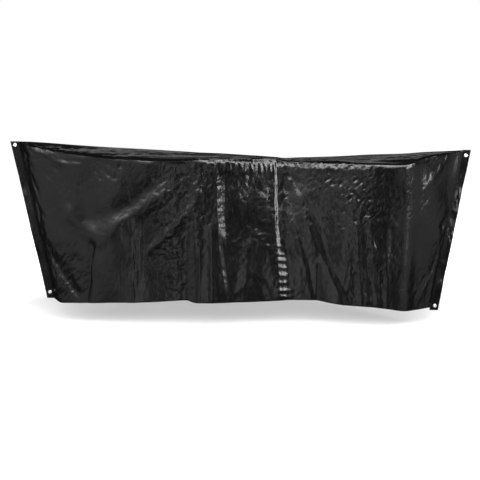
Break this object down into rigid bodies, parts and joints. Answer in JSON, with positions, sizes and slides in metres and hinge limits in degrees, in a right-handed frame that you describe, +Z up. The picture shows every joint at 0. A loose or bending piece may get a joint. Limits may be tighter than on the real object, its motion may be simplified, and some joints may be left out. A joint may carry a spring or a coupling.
{
  "type": "bicycle cover",
  "caption": "Long black woven polyethylene bicycle cover, hanging draped and hollow, with flat sealed end seams and metal corner eyelets.",
  "frame": {"origin": "the point under the ridge, in its dip, where the cover rests on what it covers", "axes": "+X along the ridge towards the rear end, +Y to the far side, +Z up"},
  "size_m": [2.973, 0.4652, 1.1084],
  "materials": {
    "sheet": "glossy coated woven polyethylene, crumpled",
    "seam": "the same cloth, sealed flat in two layers",
    "eyelet": "bright pressed metal"
  },
  "bodies": {
    "root": {"cover_sheet": "sheet", "front_seam_strip": "seam", "rear_seam_strip": "seam", "eyelet_front_top": "eyelet", "eyelet_front_low": "eyelet", "eyelet_rear_top": "eyelet", "eyelet_rear_low": "eyelet"}
  },
  "joints": []
}
